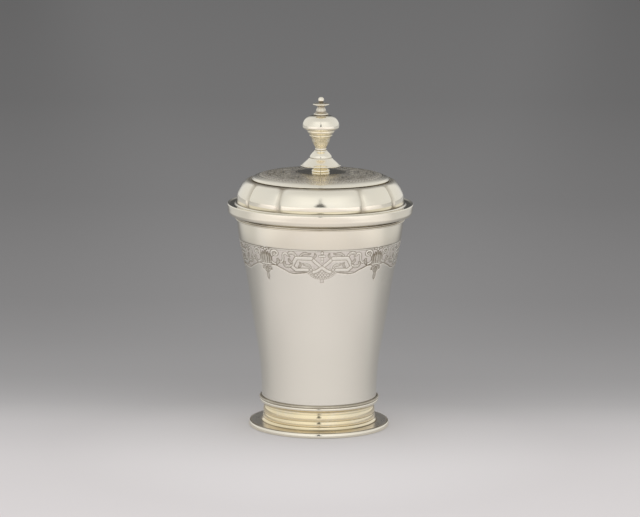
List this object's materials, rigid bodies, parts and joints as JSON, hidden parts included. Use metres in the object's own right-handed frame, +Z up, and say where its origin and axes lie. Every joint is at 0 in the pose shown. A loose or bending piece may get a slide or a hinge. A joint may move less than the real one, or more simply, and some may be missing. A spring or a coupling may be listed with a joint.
{
  "type": "covered beaker",
  "caption": "Tapering silver beaker on a moulded gilt foot, with a lobed lift-off cover and a turned baluster finial.",
  "frame": {"origin": "middle of the foot, on the plane it stands on", "axes": "+Z up along the axis of the beaker, towards the finial; -Y towards the front, the middle of a wide lobe"},
  "size_m": [0.0984, 0.0984, 0.1755],
  "materials": {
    "silver": "polished, softly worn white silver",
    "pale_gilt": "polished silver with its gilding worn pale",
    "gilt": "polished silver-gilt"
  },
  "bodies": {
    "beaker": {"foot_edge_wire": "pale_gilt", "foot_plate": "pale_gilt", "foot_spool": "gilt", "vessel": "silver", "foot_collar": "pale_gilt", "lip_moulding": "pale_gilt"},
    "cover": {"cover_bezel": "pale_gilt", "cover_flange": "pale_gilt", "cover_lobed_band": "pale_gilt", "cover_top_plate": "pale_gilt", "finial_seat": "pale_gilt", "finial_bell": "pale_gilt", "finial_waist_ring": "pale_gilt", "finial_vase": "gilt", "finial_vase_ring": "pale_gilt", "finial_cap": "pale_gilt", "finial_cap_ring": "pale_gilt", "finial_button": "pale_gilt", "finial_rod": "silver", "finial_washer": "silver", "finial_nut": "silver"}
  },
  "joints": [
    {"name": "cover_lift", "type": "slide", "parent": "beaker", "child": "cover", "axis": [0, 0, 1], "range_m": [0, 0.06]}
  ]
}
